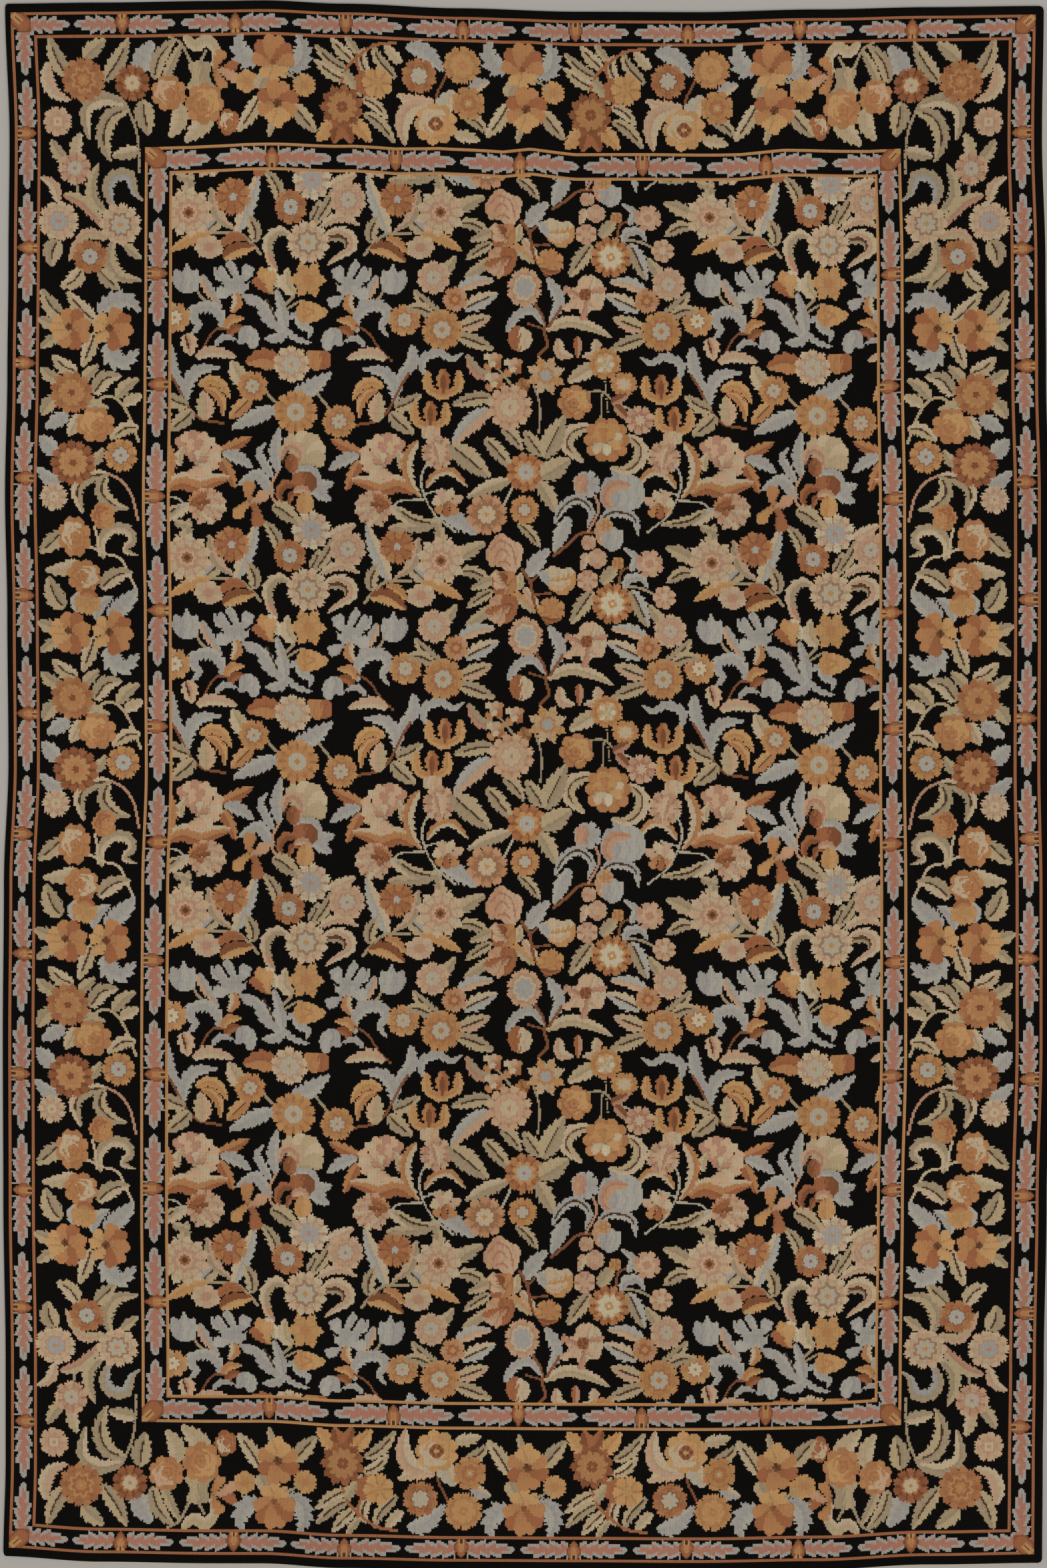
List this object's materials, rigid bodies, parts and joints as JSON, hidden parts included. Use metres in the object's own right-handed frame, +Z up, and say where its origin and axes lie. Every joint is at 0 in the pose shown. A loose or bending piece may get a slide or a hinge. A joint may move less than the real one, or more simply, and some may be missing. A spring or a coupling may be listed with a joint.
{
  "type": "needlepoint rug",
  "caption": "Flat floral needlepoint floor rug with a black ground, worked wool face and a thin cotton lining.",
  "frame": {"origin": "middle of the rug's box, on the floor under it", "axes": "+Y along the rug's length to its far end, +X to its right side, +Z up out of the worked face"},
  "size_m": [1.843, 2.7626, 0.0052],
  "materials": {
    "wool_needlework": "matte ribbed wool stitches",
    "cotton_lining": "plain woven unbleached cotton"
  },
  "bodies": {
    "root": {"needlework": "wool_needlework", "lining": "cotton_lining"}
  },
  "joints": []
}
